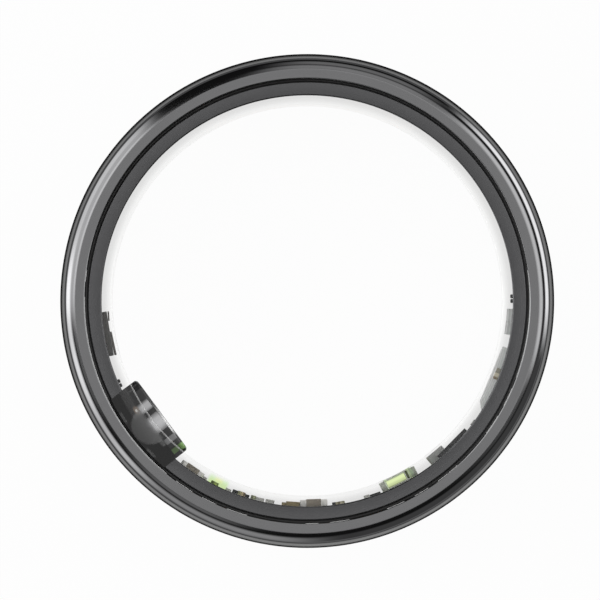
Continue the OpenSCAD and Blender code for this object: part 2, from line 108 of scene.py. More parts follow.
class RingSizes(bpy.types.PropertyGroup):
    """Sizes of the metal, the liner and the window"""
    ring_r: length("Ring radius", "Outside radius at mid-width, with its coating",
                   cad_radius("outer_shell") + 0.018 * MM)
    half_w: length("Half width", "Half of the ring's width", cad_half_width("outer_shell"))
    crown_h: length("Crown", "Bulge of the outer face", 0.287 * MM)
    edge_r: length("Edge radius", "Rounding of the two outer edges", 0.57 * MM)
    rim_w: length("Rim width", "Width of the flat rim", 0.41 * MM)
    rim_chamfer: length("Rim chamfer", "Chamfer on the rim's inner edge", 0.04 * MM)
    chamber_r: length("Chamber radius", "Inside radius of the shell's wall", 11.8 * MM)
    channel_z: length("Channel height", "Half of the channel's width", 3.15 * MM)
    groove_w: length("Groove width", "Width of the groove beside the rim", 0.195 * MM)
    groove_depth: length("Groove depth", "Depth of the groove", 0.2 * MM)
    side_w: length("Side ring width", "Width of a side ring", 0.675 * MM)
    side_z: length("Side ring height", "Height of a side ring's face over mid-width",
                   cad_half_width("side_rings"))
    side_edge_r: length("Side ring edge", "Rounding of a side ring's inner edge", 0.07 * MM)
    bore_r: length("Bore radius", "Radius of the finger bore", 9.9 * MM)
    liner_z: length("Liner height", "Half of the liner's width", cad_half_width("resin_liner"))
    liner_edge_r: length("Liner edge", "Rounding of the liner's inner edges", 0.15 * MM)
    board_r: length("Board radius", "Radius of the board's inner face", 10.85 * MM)
    back_z: length("Back height", "Half of the liner's width over the board", 3.13 * MM)
    window_angle: angle("Window angle", "Where the window stands on the ring", 218)
    window_len: length("Window length", "Length of the window round the ring", 4.4 * MM)
    window_rise: length("Window rise", "Height of the dome over the bore", 0.545 * MM)
    dome_w: length("Dome width", "Width of the dome along the axis", 6 * MM)
    dome_tilt: angle("Dome tilt", "Turn of the dome on its base", -1.5)
    dome_end_r: length("Dome end rounding", "Rounding of the dome's two ends", 0.17 * MM)
    dome_side_r: length("Dome side rounding", "Rounding of the dome's two sides", 0.12 * MM)
    dome_corner_r: length("Dome corner", "Rounding of the dome's corners", 0.5 * MM)
    cheek_z: length("Cheek height", "Height of the window's cheeks over mid-width",
                    cad_half_width("sensor_window"))
    cheek_r: length("Cheek reach", "Radius that the cheeks reach over the side rings", 11.19 * MM)
    cheek_edge_r: length("Cheek edge", "Rounding of the cheeks' long edges", 0.08 * MM)
    gap: length("Gap", "Gap between a piece and its neighbour", 0.02 * MM)


class RingColours(bpy.types.PropertyGroup):
    """Colours of the finishes"""
    shell: colour("Shell", "Coated metal of the shell", 0.21, 0.21, 0.214)
    side: colour("Side rings", "Coated metal of the side rings", 0.115, 0.115, 0.118)
    groove: colour("Groove", "Black glue in the groove", 0.006, 0.006, 0.006)
    resin: colour("Resin", "Tint of the clear liner", 0.995, 0.995, 0.99)
    smoke: colour("Window", "Tint of the smoked window", 0.016, 0.016, 0.0165)
    board: colour("Board", "Solder mask of the board", 0.02, 0.1, 0.045)
    copper: colour("Copper", "Copper of the coil", 0.72, 0.3, 0.14)
    gold: colour("Gold", "Gold plating", 0.78, 0.55, 0.22)
    tin: colour("Tin", "Tin plating and solder", 0.62, 0.61, 0.58)
    floor: colour("Floor", "Colour of the floor", 0.75, 0.75, 0.75)


class RingStudio(bpy.types.PropertyGroup):
    """Light and camera"""
    light: bpy.props.FloatProperty(
        name="Light", description="Brightness of the studio round the ring", default=0.75, min=0)
    floor_size: length("Floor size", "Side of the floor", 0.6)
    view_height: length("View height", "Height of the camera over the ring", 0.2)
    view_x: length("View centre X", "Point that the camera looks at", -0.368 * MM)
    view_y: length("View centre Y", "Point that the camera looks at", 0.051 * MM)
    view_width: length("View width", "Width of the picture at the ring's face", 30.523 * MM)


# ---- shader wires

class Wire:
    """A socket that can be used in sums, as a number can."""

    def __init__(self, tree, socket):
        self.tree = tree
        self.socket = socket

    def node(self, kind, settings=None, values=None, out=0):
        """Add a shader node: first its settings, then the values or links of its sockets."""
        made = self.tree.nodes.new("ShaderNode" + kind)
        for key, value in (settings or {}).items():
            setattr(made, key, value)
        for key, value in (values or {}).items():
            if isinstance(value, Wire):
                self.tree.links.new(value.socket, made.inputs[key])
            else:
                made.inputs[key].default_value = value
        return Wire(self.tree, made.outputs[out])

    def end(self, kind):
        """Lead this shader to the output of its tree."""
        made = self.tree.nodes.new("ShaderNodeOutput" + kind)
        self.tree.links.new(self.socket, made.inputs["Surface"])

    def math(self, operation, *values):
        return self.node("Math", {"operation": operation}, dict(enumerate(values)))

    def __add__(self, other):
        return self.math("ADD", self, other)

    __radd__ = __add__

    def __sub__(self, other):
        return self.math("SUBTRACT", self, other)

    def __rsub__(self, other):
        return self.math("SUBTRACT", other, self)

    def __mul__(self, other):
        return self.math("MULTIPLY", self, other)

    __rmul__ = __mul__

    def __truediv__(self, other):
        return self.math("DIVIDE", self, other)

    def __rtruediv__(self, other):
        return self.math("DIVIDE", other, self)

    def __abs__(self):
        return self.math("ABSOLUTE", self)

    def __mod__(self, other):
        return self.math("FLOORED_MODULO", self, other)

    def __pow__(self, other):
        return self.math("POWER", self, other)

    def step(self, start, end):
        """A smooth step from 0 at start to 1 at end."""
        return self.node("MapRange", {"interpolation_type": "SMOOTHSTEP"},
                         {"Value": self, "From Min": start, "From Max": end})

    def between(self, low, high, soft):
        """1 between two values and 0 outside them, with soft edges."""
        return self.step(low - soft, low + soft) * self.step(high + soft, high - soft)

    def mix(self, first, second):
        """A colour mixed by this factor, from first at 0 to second at 1."""
        return self.node("Mix", {"data_type": "RGBA"},
                         {"Factor": self, 6: rgba(first), 7: rgba(second)}, 2)

    def blend(self, first, second):
        """A shader mixed by this factor, from first at 0 to second at 1."""
        return self.node("MixShader", None, {0: self, 1: first, 2: second})


def spread(degrees):
    """The cosine and sine of an angle."""
    return math.cos(math.radians(degrees)), math.sin(math.radians(degrees))


def grey(level):
    return level, level, level


def dim(shade, factor):
    """A colour times a number."""
    return tuple(factor * c for c in shade)


def rgba(value):
    """A colour as a socket takes it, or its wire as it is."""
    return value if isinstance(value, Wire) else (*tuple(value)[:3], 1)


FINISHES = {}


class Finish:
    """A material under construction, with the ring's own coordinates in millimetres."""

    def __init__(self, name):
        self.name = name
        self.material = bpy.data.materials.new(name)
        self.material.use_nodes = True
        tree = self.material.node_tree
        tree.nodes.clear()
        place = Wire(tree, tree.nodes.new("ShaderNodeTexCoord").outputs["Object"])
        self.node = place.node
        self.place = self.scaled(place, 1 / MM)
        self.x, self.y, self.z = (
            self.node("SeparateXYZ", None, {0: self.place}, out) for out in range(3))
        self.radius = (self.x * self.x + self.y * self.y) ** 0.5

    def scaled(self, vector, factor):
        """A vector or a colour times a factor."""
        return self.node("VectorMath", {"operation": "SCALE"}, {0: vector, "Scale": factor})

    def turned(self, middle):
        """Millimetres out along a middle angle, and aside from it."""
        c, s = spread(middle)
        return self.x * c + self.y * s, self.y * c - self.x * s

    def round(self, middle):
        """Degrees round the ring from a middle angle, with the seam opposite it."""
        ahead, aside = self.turned(middle)
        return ahead.math("ARCTAN2", aside, ahead) * math.degrees(1)

    def along(self, middle, radius):
        """Millimetres round the ring from a middle angle, at a radius."""
        return self.round(middle) * (math.radians(1) * radius)

    def vector(self, x, y, z):
        return self.node("CombineXYZ", None, {"X": x, "Y": y, "Z": z})

    def noise(self, scale, detail=3, rough=0.55, where=None):
        """Noise in the ring's millimetres, or in three coordinates of its own."""
        return self.node("TexNoise", None, {
            "Vector": self.vector(*where) if where else self.place,
            "Scale": scale, "Detail": detail, "Roughness": rough})

    def marks(self, grain):
        """Fine marks that run round the ring."""
        return self.noise(1, 2, 0.5, (self.radius * grain, self.z * grain, self.round(90) * 0.012))

    def principled(self, tint, rough, bump=None, **more):
        """A Principled shader. A bump is a height, its millimetres at 1 and a strength.

        The other keys have _ for the spaces in the sockets' names.
        """
        values = {"Base Color": rgba(tint), "Roughness": rough}
        if bump:
            height, depth, strength = bump
            values["Normal"] = self.node("Bump", None, {
                "Strength": strength, "Distance": depth * MM, "Height": height})
        for key, value in more.items():
            name = key.replace("_", " ").title().replace("Ior", "IOR")
            values[name] = rgba(value) if name == "Emission Color" else value
        return self.node("BsdfPrincipled", None, values)

    def surface(self, *values, **more):
        return self.out(self.principled(*values, **more))

    def out(self, shader):
        shader.end("Material")
        FINISHES[self.name] = self.material
        return self.material


# ---- finishes

def shell_metal(shade):
    """Dark coated metal, polished round the ring, with faint turning marks and fine specks."""
    f = Finish("shell_metal")
    marks = f.marks(46)
    tone = f.noise(1.1, 2) * 0.06 + 0.97 + (marks - 0.5) * 0.05
    rough = 0.11 + (marks - 0.5) * 0.05 + f.noise(60, 2).step(0.62, 0.75) * 0.03
    f.surface(f.scaled(tuple(shade), tone), rough, (marks, 0.0006, 0.25), metallic=1.0,
              specular_tint=(0.2, 0.2, 0.2, 1))


def side_metal(shade):
    """The side rings' darker metal, with painted shading: a little lighter toward the groove."""
    f = Finish("side_metal")
    marks = f.marks(40)
    # painted shading: the metal's colour is lighter toward the groove
    painted_shading = f.radius.step(10.45, 11.1) * 0.17 + 0.77
    tone = painted_shading + (marks - 0.5) * 0.08 + (f.noise(1.3, 2) - 0.5) * 0.1
    f.surface(f.scaled(tuple(shade), tone), 0.26 + (marks - 0.5) * 0.1, (marks, 0.0008, 0.3),
              metallic=1.0)


def glue(shade):
    """Black glue with a soft skin."""
    f = Finish("groove_glue")
    grain = f.noise(14)
    f.surface(grain.mix(shade, dim(shade, 3)), 0.32 + grain * 0.15, (grain, 0.002, 0.4),
              specular_ior_level=0.4)


def clear_resin(shade):
    """The clear liner, with painted shade toward the board and painted light where the diode
    shines in.
    """
    f = Finish("liner_resin")
    turn = abs(f.round(RIM_DIODE_ANGLE))
    # painted light: the green diode's light in the liner, painted into its colour
    lit = turn.step(3.6, 2.3) * f.radius.step(9.9, 10.22) * f.z.step(-1.5, 1)
    # painted shade: darker toward the board
    body = f.radius.step(9.9, 10.4).mix(shade, dim(shade, 0.785))
    glow = turn.step(0.6, 1.7).mix((0.74, 0.9, 0.22), (0.55, 0.89, 0.33))
    glow = f.radius.step(10.15, 10.36).mix(glow, (0.5, 0.8, 0.2))
    f.surface(lit.mix(body, glow), 0.0, (f.noise(0.9, 1), 0.004, 0.15), ior=1.01,
              transmission_weight=1.0, coat_weight=1.0, coat_ior=1.45, coat_roughness=0.01)


def smoked_resin(shade, middle):
    """The window's dark see-through resin, with a milky patch and painted highlights on the cheeks
    and dome.
    """
    f = Finish("window_smoke")
    haze = f.noise(3, 2)
    clear = f.principled(
        haze.mix(shade, dim(shade, 0.82)), 0.02, (f.noise(1.2, 1), 0.003, 0.1), ior=1.02,
        transmission_weight=1.0, coat_weight=1.0, coat_ior=1.5, coat_roughness=0.02)
    ahead, aside = f.turned(middle)
    across, deep = (aside - 0.06) / 0.95, (ahead - 10.3) / 0.84
    patch = (across * across + deep * deep).step(1.12, 0.84) * f.radius.step(10.02, 10.24)
    # three pale spots, and painted highlights: two short lines beside the diodes, each cheek's lip
    corner = aside.step(-0.5, -0.85) * f.radius.between(10.22, 10.65, 0.06) * 0.4
    corner += aside.between(0.98, 1.34, 0.05) * f.radius.between(10.2, 10.42, 0.05) * 0.75
    corner += aside.between(-1.97, -1.86, 0.03) * f.radius.between(10.0, 10.2, 0.06) * 0.4
    arc_highlights = f.radius.between(11.02, 11.15, 0.02) * abs(aside - 0.06).between(0.85, 1.42, 0.1)
    # painted highlight on the lip of each cheek, at the bore's edge
    lip = f.radius.step(9.99, 9.94)
    ahead, aside = f.turned(middle - 1.5)
    # a painted highlight along the top of the dome, at both of its sides, which glows a little
    brow_highlight = ahead.between(9.38, 9.475, 0.015) * abs(f.z).step(2.7, 2.85)
    brow_highlight *= aside.step(-0.75, 0.7) * aside.step(1.6, 1.1)
    soft = f.radius.step(10.1, 11.0).mix(grey(0.2), grey(0.11))
    # the milky patch and the painted highlights, with an emitted glint along the dome's top
    milk_and_highlights = f.principled(
        brow_highlight.mix(lip.mix(soft, grey(0.66)), haze.mix(grey(0.9), grey(1))), 0.3,
        emission_color=brow_highlight.mix(grey(0), grey(0.2)), emission_strength=1.0)
    share = abs(f.z).step(3.6, 3.72) * (patch + corner + arc_highlights + lip) * 0.5 + brow_highlight * 0.9
    f.out(share.blend(clear, milk_and_highlights))


def moulding(name, shade, other, rough=0.5, depth=0.004, **more):
    """Moulded or cast stuff with a fine grain between two shades."""
    f = Finish(name)
    fine = f.noise(30)
    tint = (fine * 0.6 + f.noise(30 / 9, 2) * 0.4).step(0.3, 0.7).mix(shade, other)
    f.surface(tint, rough + (fine - 0.5) * 0.2, (fine, depth, 0.5), **more)


def plating(name, shade, rough):
    """Tin, nickel or gold plating with a slightly pebbled skin and duller patches."""
    f = Finish(name)
    pebbles = f.noise(22)
    tint = f.noise(5, 2).step(0.35, 0.7).mix(shade, dim(shade, 0.72))
    f.surface(tint, rough + pebbles * 0.18, (pebbles, 0.006, 0.45), metallic=1.0)


def board_mask(shade):
    """Solder mask over copper tracks, with vias and a lighter ground plane at the edges."""
    f = Finish("board_green")
    along = f.along(BOARD_ANGLE, 10.85)
    lanes = f.z * 3.1 + (f.noise(1, 1, 0.5, (along * 0.55, 0.0, 0.0)) - 0.5) * 2.2
    cut = (f.noise(1, 0, 0.5, (along * 0.8, f.z * 1.2, 3.0)) - 0.46).step(0.0, 0.02)
    run = abs((lanes % 1.0) - 0.5).step(0.2, 0.15) * cut
    cell_x, cell_z = (along * 1.15) % 1.0 - 0.5, (f.z * 1.4) % 1.0 - 0.5
    near = (cell_x * cell_x + cell_z * cell_z) ** 0.5
    chance = f.noise(1, 0, 0.5, (along * 0.5, f.z * 0.6, 7.0))
    via = near.step(0.13, 0.1) * (chance - 0.5).step(0, 0.02)
    hole = near.step(0.06, 0.045) * via
    tint = (run * 0.8 + abs(f.z).step(2.62, 2.66) * 0.7).mix(shade, dim(shade, 2.6))
    tint = hole.mix(via.mix(tint, (0.75, 0.6, 0.3)), grey(0.01))
    f.surface(tint, 0.38 - via * 0.1, (run + via * 1.5 - hole * 3, 0.012, 0.6),
              metallic=via * 0.9, coat_weight=0.3)


def coil_winding(copper):
    """Copper turns under a clear film, each turn a rounded rectangle."""
    f = Finish("coil_copper")
    half_long, half_wide, corner, pitch = 5.5, 2.9, 1.4, 0.155
    over_x = abs(f.along(BATTERY_ANGLE, 10.5)) - (half_long - corner)
    over_z = abs(f.z) - (half_wide - corner)
    out_x, out_z = over_x.math("MAXIMUM", over_x, 0.0), over_z.math("MAXIMUM", over_z, 0.0)
    deeper = over_x.math("MAXIMUM", over_x, over_z)
    inset = corner - (out_x * out_x + out_z * out_z) ** 0.5 - deeper.math("MINIMUM", deeper, 0.0)
    wire = abs((inset / pitch) % 1.0 - 0.5).step(0.42, 0.3)
    frosting = f.noise(25, 2)
    tint = wire.mix((0.2, 0.085, 0.03), frosting.mix(copper, dim(copper, 0.8)))
    f.surface(tint, 0.34 - wire * 0.08 + frosting * 0.08, (wire, 0.02, 0.6),
              metallic=wire * 0.95, coat_weight=0.6)


def pouch_foil(shade):
    """Crinkled foil of the battery pouch, with a pressed seam along each edge."""
    f = Finish("cell_foil")
    crinkle = f.noise(1, 4, 0.6, (f.along(BATTERY_ANGLE, 11) * 0.9, f.z * 1.6, f.radius))
    seam = abs(abs(f.z) - 2.35).step(0.1, 0.04)
    tint = (crinkle * 0.7 + seam * 0.5).mix(shade, dim(shade, 0.7))
    f.surface(tint, 0.3 + f.noise(16, 2) * 0.12, (crinkle - seam * 0.4, 0.06, 0.5), metallic=0.9)


def ferrite_face():
    """Dark ferrite that is cracked into tiles under its film."""
    f = Finish("ferrite_face")
    tiles = f.node("TexVoronoi", {"feature": "DISTANCE_TO_EDGE"}, {
        "Vector": f.vector(f.along(BATTERY_ANGLE, 10.6), f.z, 0.0), "Scale": 1.5})
    crack = tiles.step(0.045, 0.01)
    tint = crack.mix((0.035, 0.035, 0.038), grey(0.012))
    f.surface(tint, 0.42 + crack * 0.3, (1 - crack, 0.01, 0.5), coat_weight=0.25)


def amber_film(shade, other):
    """Amber insulating film with a faint weave of scratches."""
    f = Finish("film_amber")
    lines = f.noise(1, 3, 0.6, (f.round(90) * 0.4, f.z * 9, f.radius * 9))
    f.surface(lines.mix(shade, other), 0.25 + lines * 0.15, (lines, 0.004, 0.4), coat_weight=0.5)


def layered_ceramic(name, top, middle, bottom, step_mm):
    """Ceramic whose side shows fine layers, with painted shade: lighter toward the finger."""
    f = Finish(name)
    layer = abs(((f.radius / step_mm) % 1.0) - 0.5).step(0.42, 0.3)
    grain = f.noise(24)
    # painted shade: darker toward the board
    tint = f.radius.step(10.18, 10.32).mix(top, middle)
    tint = f.radius.step(10.36, 10.48).mix(tint, bottom)
    tint = (layer * 0.5 + grain * 0.3).mix(tint, dim(bottom, 0.8))
    f.surface(tint, 0.4 + grain * 0.15, (layer, 0.004, 0.5), coat_weight=0.1)


def lamp(name, shade, core, low_r, high_r, foot, middle, half):
    """Lit resin: brightest between two radii, dim at its foot, olive past an angle or below."""
    f = Finish(name)
    mottle = f.noise(4, 2)
    turn = f.round(middle)
    heart = ((f.radius - low_r) / (high_r - low_r)).between(0.1, 0.55, 0.25)
    tint = (heart * (mottle * 0.5 + 0.75)).mix(shade, core)
    tint = f.radius.step(foot - 0.03, foot + 0.04).mix(tint, dim(shade, 0.42))
    # painted light: past the lit part's ends and below it, pale and olive colours are emitted too
    pale = turn.step(0.05 - half, -half - 0.05) + f.radius.step(low_r + 0.03, low_r)
    tint = pale.mix(tint, (0.36, 0.42, 0.28))
    tint = turn.step(half - 0.05, half + 0.05).mix(tint, (0.075, 0.1, 0.03))
    f.surface(grey(0.02), 0.3, (mottle, 0.004, 0.3), emission_color=tint, emission_strength=1.0)


def banded(name, middle, shade, *bands, grain=26, shade_from=10.9):
    """A small part whose colour changes in bands of degrees, with painted shade past a radius."""
    f = Finish(name)
    turn = f.round(middle)
    fine = f.noise(grain)
    tint = fine.mix(shade, dim(shade, 0.85))
    for start, end, other in bands:
        tint = turn.between(start, end, 0.06).mix(tint, other)
    # painted shade: darker past a radius, toward the board
    darker = f.radius.step(shade_from, shade_from + 0.14) * 0.4
    tint = (fine * 0.35 + darker).mix(tint, (0.05, 0.045, 0.03))
    f.surface(tint, 0.5 + (fine - 0.5) * 0.2, (fine, 0.005, 0.5), specular_ior_level=0.3)


# painted reflections: bright columns across the window, shown as light from the pillars
PAINTED_COLUMNS = (
    # middle and half width across the window in millimetres, brightness, softness
    (-0.84, 0.22, 0.68, 0.13),
    (0.18, 0.4, 0.82, 0.25),
    (1.25, 0.19, 0.27, 0.12),
)


def columns(aside):
    """How bright the painted columns of reflected light are, across the window."""
    return sum(aside.between(place - half, place + half, soft) * bright
               for place, half, bright, soft in PAINTED_COLUMNS)


def frame_black(middle):
    """The sensor's black frame, with painted column light and a diode's painted warm glint at a
    gap.
    """
    f = Finish("frame_black")
    grain = f.noise(20)
    aside = f.turned(middle)[1]
    across, deep = (aside + 0.95) / 0.3, (f.radius - 10.33) / 0.2
    near = across * across + deep * deep
    # painted light: the columns' light glows on the frame
    glow = columns(aside) * aside.step(1.2, 0.95) * f.radius.step(10.36, 10.06) * 0.85
    # painted highlight: a warm glint with a white centre where a diode shows at a gap
    gleam = near.step(1.0, 0.15).mix(grey(0), (0.26, 0.19, 0.14))
    gleam = near.step(0.13, 0.03).mix(glow.mix(gleam, grey(0.8)), (1.0, 0.97, 0.9))
    f.surface(grain.mix(grey(0.01), grey(0.02)), 0.6, (grain, 0.004, 0.4),
              emission_color=gleam, emission_strength=4.0)


def pillar_resin(middle):
    """Clear columns under the dome that glow with painted reflections and fade toward the board.
    """
    f = Finish("pillar_clear")
    aside = f.turned(middle)[1]
    streaks = f.noise(1, 2, 0.5, (aside * 5, f.radius * 1.2, 0.0)) * 0.3 + 0.85
    # painted reflections: the columns' light, emitted by the pillars
    light = (columns(aside) * f.radius.step(10.5, 9.95) * streaks).mix(grey(0), grey(1))
    # painted light: a green glow at the window's end
    painted_green_glow = aside.step(1.66, 1.76) * (f.radius.step(9.92, 9.45) * 0.85 + 0.16)
    light = painted_green_glow.mix(light, (0.58, 1.0, 0.34))
    # painted shade: darker bands beside the outer columns
    shaded = aside.between(-1.72, -1.42, 0.08) + aside.between(1.48, 1.66, 0.05)
    tint = shaded.step(0, 1).mix(grey(0.05), grey(0.003))
    f.surface(tint, 0.35, (f.noise(8, 2), 0.003, 0.3), emission_color=light,
              emission_strength=4.4)


class RING_OT_finishes(bpy.types.Operator):
    """Make the finishes of all the pieces"""
    bl_idname = "ring.finishes"
    bl_label = "Finishes"

    def execute(self, context):
        c = context.scene.ring_colours
        middle = math.degrees(context.scene.ring_sizes.window_angle)
        shell_metal(c.shell)
        side_metal(c.side)
        glue(c.groove)
        clear_resin(c.resin)
        smoked_resin(c.smoke, middle)
        board_mask(c.board)
        coil_winding(c.copper)
        pouch_foil((0.62, 0.63, 0.65))
        ferrite_face()
        amber_film((0.5, 0.27, 0.06), (0.36, 0.17, 0.03))
        plating("tin", c.tin, 0.3)
        plating("gold", c.gold, 0.22)
        plating("nickel", (0.6, 0.58, 0.53), 0.26)
        moulding("chip_black", (0.018, 0.018, 0.019), (0.035, 0.035, 0.037), 0.55)
        moulding("chip_grey", (0.03, 0.03, 0.031), (0.04, 0.04, 0.041), 0.55, depth=0.001,
                 specular_ior_level=0.25)
        banded("can_grey", 309.98, (0.56, 0.56, 0.55), (-3.3, -2.35, (0.44, 0.45, 0.39)),
               shade_from=10.5)
        moulding("connector_black", (0.042, 0.04, 0.037), (0.066, 0.062, 0.058))
        moulding("plug_brown", (0.066, 0.058, 0.05), (0.09, 0.082, 0.072))
        moulding("capacitor_brown", (0.19, 0.16, 0.125), (0.26, 0.22, 0.17), 0.45)
        moulding("capacitor_grey", (0.44, 0.43, 0.41), (0.54, 0.53, 0.5), 0.45)
        moulding("resistor_black", (0.008, 0.009, 0.009), (0.016, 0.017, 0.016),
                 specular_ior_level=0.15)
        banded("resistor_green", 254.65, (0.25, 0.27, 0.16), (0.0, 0.5, (0.48, 0.51, 0.3)),
               (0.5, 2, (0.35, 0.37, 0.22)))
        moulding("inductor_brown", (0.21, 0.16, 0.065), (0.27, 0.205, 0.09), 0.45)
        moulding("inductor_end", (0.13, 0.115, 0.055), (0.18, 0.155, 0.08), 0.45)
        banded("tantalum_tan", 251.15, (0.46, 0.41, 0.21), (-2, -0.5, (0.27, 0.27, 0.15)),
               (0.05, 0.5, (0.66, 0.52, 0.29)), (0.5, 3, (0.26, 0.19, 0.1)))
        banded("contact_gold", 279, (0.48, 0.44, 0.3), (-0.45, 0.25, (0.19, 0.16, 0.08)),
               (0.3, 0.7, (0.58, 0.54, 0.38)), (1.15, 1.5, (0.34, 0.32, 0.21)),
               (1.5, 3, (0.74, 0.72, 0.58)))
        banded("terminal_cream", 338.75, (0.42, 0.39, 0.32), (-1.6, -0.7, (0.36, 0.28, 0.19)),
               (-0.6, 0.5, (0.92, 0.83, 0.66)))
        frame_black(middle)
        moulding("barrier_black", grey(0.01), grey(0.02), 0.6, specular_ior_level=0.2)
        moulding("guide_olive", (0.06, 0.09, 0.02), (0.1, 0.13, 0.04), specular_ior_level=0.2)
        # painted light: the lighter green bands of the guide beside the lit window
        banded("guide_resin", 297, (0.68, 0.7, 0.62), (-3.9, -3.1, (0.75, 0.95, 0.58)),
               (3.2, 4.0, (0.8, 0.98, 0.56)), (4.0, 4.8, (0.58, 0.72, 0.48)),
               (4.8, 6, (0.52, 0.56, 0.46)), grain=10, shade_from=10.22)
        banded("diode_olive", RIM_DIODE_ANGLE, (0.34, 0.35, 0.13),
               (-2.5, -0.9, (0.13, 0.135, 0.04)), (-0.85, 0.0, (0.54, 0.53, 0.25)))
        moulding("diode_red", (0.22, 0.05, 0.03), (0.34, 0.09, 0.05), 0.3)
        moulding("diode_infrared", (0.08, 0.03, 0.06), (0.14, 0.06, 0.1), 0.25)
        moulding("photodiode_blue", (0.015, 0.015, 0.04), (0.03, 0.03, 0.07), 0.15)
        moulding("dot_white", (0.85, 0.85, 0.83), (0.95, 0.95, 0.93))
        layered_ceramic("antenna_ceramic", grey(1), grey(0.98), grey(0.78), 0.1)
        layered_ceramic("filter_grey", grey(1), grey(0.9), grey(0.6), 0.16)
        lamp("lit_guide", (0.59, 0.69, 0.34), (0.76, 0.9, 0.44), 10.015, 10.38, 10.335,
             296.4, 2.83)
        lamp("lit_green", (0.3, 1.0, 0.2), (0.5, 1.0, 0.3), 10.3, 10.83, 10.9, middle, 40)
        pillar_resin(middle)
        return {"FINISHED"}


# ---- modelling helpers

def deselect():
    if bpy.context.object and bpy.context.object.mode != "OBJECT":
        bpy.ops.object.mode_set(mode="OBJECT")
    bpy.ops.object.select_all(action="DESELECT")


def make_active(piece):
    deselect()
    piece.select_set(True)
    bpy.context.view_layer.objects.active = piece


def edit(select="SELECT"):
    """Enter edit mode, and select or deselect everything unless told None."""
    bpy.ops.object.mode_set(mode="EDIT")
    if select:
        bpy.ops.mesh.select_all(action=select)


def leave():
    bpy.ops.object.mode_set(mode="OBJECT")


def weld(threshold):
    """Select everything and merge the points that lie closer than a threshold."""
    bpy.ops.mesh.select_all(action="SELECT")
    bpy.ops.mesh.remove_doubles(threshold=threshold)


def settle(piece, smooth=30):
    """Put the piece's place in its mesh and shade it smooth up to an angle in degrees."""
    make_active(piece)
    bpy.ops.object.transform_apply(location=True, rotation=True, scale=True)
    if smooth:
        bpy.ops.object.shade_smooth_by_angle(angle=math.radians(smooth))
    return piece


def combine(piece, operation, other):
    """Add another piece to a piece or cut it away, and remove the other."""
    make_active(piece)
    change = piece.modifiers.new("Combine", "BOOLEAN")
    change.operation, change.object, change.solver = operation, other, "EXACT"
    bpy.ops.object.modifier_apply(modifier=change.name)
    bpy.data.objects.remove(other)


def ease(piece, width, segments, limit="ANGLE"):
    """Round a piece's sharp edges, or with WEIGHT those that have a weight."""
    make_active(piece)
    easing = piece.modifiers.new("Eased edges", "BEVEL")
    easing.width, easing.segments = width, segments
    easing.limit_method, easing.angle_limit = limit, math.radians(40)
    bpy.ops.object.modifier_apply(modifier=easing.name)


def cut(place, outward):
    """Cut off what lies beyond a plane and close the cut."""
    edit()
    bpy.ops.mesh.bisect(plane_co=place, plane_no=outward, use_fill=True, clear_outer=True,
                        threshold=WELD)
    leave()


def at(radius, degrees, height, aside=0.0):
    """A point at a radius, an angle and a height, moved aside in a straight line."""
    c, s = spread(degrees)
    return Vector((radius * c - aside * s, radius * s + aside * c, height))


def arc(centre, radius, start, end, count):
    """Points of an arc in a profile, from one angle in degrees to another."""
    turns = (spread(start + (end - start) * i / count) for i in range(count + 1))
    return [(centre[0] + radius * c, centre[1] + radius * s) for c, s in turns]


def mirrored(half):
    """A profile and its mirror image below mid-width."""
    return half + [(r, -z) for r, z in reversed(half)]


def swept(name, profile, start=0.0, end=360.0, steps=384):
    """Draw a closed profile of (radius, height) points and spin it round the ring's axis."""
    deselect()
    bpy.ops.mesh.primitive_plane_add(size=MM, location=(0, 0, 0))
    piece = bpy.context.object
    piece.name = name
    edit()
    bpy.ops.mesh.merge(type="CENTER")
    points = [at(r, start, z) for r, z in profile]
    bpy.ops.transform.translate(value=points[0])
    for before, after in zip(points, points[1:] + points[:1]):
        bpy.ops.mesh.extrude_region_move(TRANSFORM_OT_translate={"value": after - before})
    weld(1e-8)
    bpy.ops.mesh.spin(steps=steps, angle=math.radians(end - start), center=(0, 0, 0),
                      axis=(0, 0, -1))
    weld(2e-7)
    if end - start < 360:
        bpy.ops.mesh.fill_holes(sides=0)
        bpy.ops.mesh.select_all(action="SELECT")
    bpy.ops.mesh.normals_make_consistent(inside=False)
    leave()
    return piece


def block(radius, degrees, height, deep, long, wide, aside=0.0, round_off=0.02 * MM):
    """A block on the ring: deep along the radius, long round the ring, wide along the axis."""
    deselect()
    bpy.ops.mesh.primitive_cube_add(size=1, location=at(radius, degrees, height, aside),
                                    rotation=(0, 0, math.radians(degrees)),
                                    scale=(deep, long, wide))
    piece = bpy.context.object
    bpy.ops.object.transform_apply(location=True, rotation=True, scale=True)
    if round_off:
        edit()
        bpy.ops.mesh.bevel(offset=min(round_off, 0.4 * min(deep, long, wide)), segments=2)
        leave()
    return piece


def merged_copy(node, name):
    """A copy of a CAD node's mesh with its triangles joined up."""
    piece = bpy.data.objects.new(name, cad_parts[node].data.copy())
    bpy.context.scene.collection.objects.link(piece)
    piece.data.materials.clear()
    make_active(piece)
    edit()
    weld(WELD)
    bpy.ops.mesh.customdata_custom_splitnormals_clear()
    leave()
    return piece


def swollen_copy(node, name, swell):
    """A copy of a CAD node that is flat between its edges and grows into its gap."""
    piece = merged_copy(node, name)
    edit()
    bpy.ops.mesh.dissolve_limited(angle_limit=math.radians(0.4))
    bpy.ops.transform.shrink_fatten(value=swell, use_even_offset=True)
    leave()
    return piece


def eased_copy(node, name, width, segments=2, swell=SWELL * MM):
    """A swollen copy of a CAD node with its edges rounded."""
    piece = swollen_copy(node, name, swell)
    ease(piece, width, segments)
    bpy.ops.object.shade_smooth_by_angle(angle=math.radians(30))
    return piece


